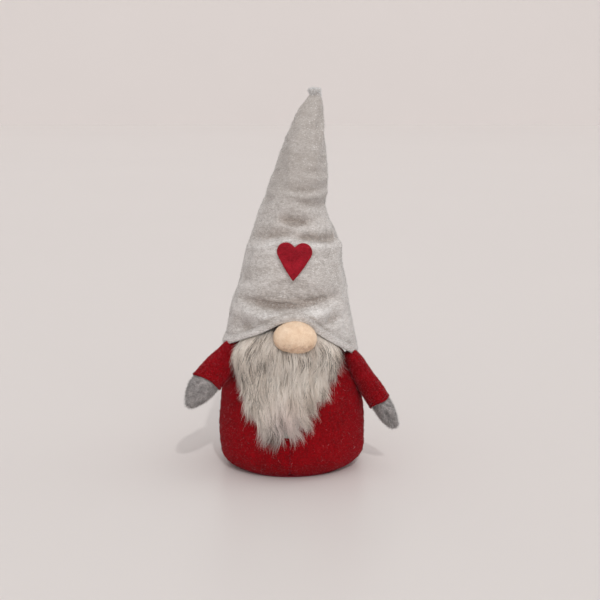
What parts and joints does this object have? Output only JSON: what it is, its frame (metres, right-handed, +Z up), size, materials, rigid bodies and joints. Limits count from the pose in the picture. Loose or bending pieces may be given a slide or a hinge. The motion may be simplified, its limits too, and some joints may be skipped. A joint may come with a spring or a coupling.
{
  "type": "gnome figurine",
  "caption": "Free-standing stuffed gnome with a tall leaning cone hat, a round nose, a long fur beard, two soft arms and a weighted flat base.",
  "frame": {"origin": "centre of the flat underside, on the surface that the figure stands on", "axes": "+Z up along the hat, -Y is the front with the nose, +X is to the right as seen from the front"},
  "size_m": [0.1426, 0.1004, 0.2512],
  "materials": {
    "red_felt": "brushed felt, matt, fine fuzz",
    "grey_plush": "short sparkly velour plush",
    "heart_felt": "pressed craft felt",
    "nose_fleece": "fine peach fleece",
    "fur_backing": "knitted fur backing",
    "beard_fur": "long faux fur, cream with dark streaks",
    "mitten_fleece": "short grey fleece",
    "red_thread": "polyester sewing thread",
    "grey_thread": "polyester sewing thread",
    "polyester_fill": "loose white polyester fibre",
    "weight_cloth": "plain unbleached cotton",
    "pellets": "plastic weighting pellets",
    "board": "grey-brown stiff board",
    "glue": "set hot-melt glue"
  },
  "bodies": {
    "figure": {"base_board": "board", "base_cover": "red_felt", "base_seam": "red_thread", "beard_upper_backing": "fur_backing", "beard_upper_fur": "beard_fur", "body_back_seam": "red_thread", "body_cover_left": "red_felt", "body_cover_right": "red_felt", "body_front_seam": "red_thread", "body_stuffing": "polyester_fill", "hat_back_seam": "grey_thread", "hat_cloth": "grey_plush", "hat_hem": "grey_plush", "hat_stuffing": "polyester_fill", "heart": "heart_felt", "heart_glue": "glue", "nose_cover": "nose_fleece", "nose_gather_thread": "grey_thread", "nose_stuffing": "polyester_fill", "weight_bag": "weight_cloth", "weight_pellets": "pellets"},
    "beard_flap": {"beard_flap_backing": "fur_backing", "beard_flap_fur": "beard_fur"},
    "hat_tip": {"hat_tip_cloth": "grey_plush", "hat_tip_seam": "grey_thread", "hat_tip_stuffing": "polyester_fill", "hat_tip_tuft": "grey_plush"},
    "left_arm": {"left_arm_stuffing": "polyester_fill", "left_cuff": "red_felt", "left_mitten": "mitten_fleece", "left_mitten_stuffing": "polyester_fill", "left_sleeve": "red_felt", "left_wrist_stitching": "grey_thread"},
    "left_shoulder": {"left_shoulder_stitching": "red_thread"},
    "right_arm": {"right_arm_stuffing": "polyester_fill", "right_cuff": "red_felt", "right_mitten": "mitten_fleece", "right_mitten_stuffing": "polyester_fill", "right_sleeve": "red_felt", "right_wrist_stitching": "grey_thread"},
    "right_shoulder": {"right_shoulder_stitching": "red_thread"}
  },
  "joints": [
    {"name": "left_arm_raise", "type": "hinge", "parent": "figure", "child": "left_shoulder", "pos_m": [-0.0375, -0.015, 0.079], "axis": [0, 1, 0], "range_deg": [-6, 30]},
    {"name": "left_arm_swing", "type": "hinge", "parent": "left_shoulder", "child": "left_arm", "pos_m": [-0.0375, -0.015, 0.079], "axis": [-1, 0, 0], "range_deg": [-25, 35]},
    {"name": "right_arm_raise", "type": "hinge", "parent": "figure", "child": "right_shoulder", "pos_m": [0.0404, -0.0125, 0.074], "axis": [0, -1, 0], "range_deg": [0, 30]},
    {"name": "right_arm_swing", "type": "hinge", "parent": "right_shoulder", "child": "right_arm", "pos_m": [0.0404, -0.0125, 0.074], "axis": [-1, 0, 0], "range_deg": [-10, 45]},
    {"name": "beard_lift", "type": "hinge", "parent": "figure", "child": "beard_flap", "pos_m": [0, -0.042, 0.068], "axis": [-1, 0, 0], "range_deg": [0, 50]},
    {"name": "hat_tip_bend", "type": "hinge", "parent": "figure", "child": "hat_tip", "pos_m": [0.0028, 0, 0.173], "axis": [0, 1, 0], "range_deg": [-20, 30], "stiffness_Nm_per_rad": 0.15}
  ]
}
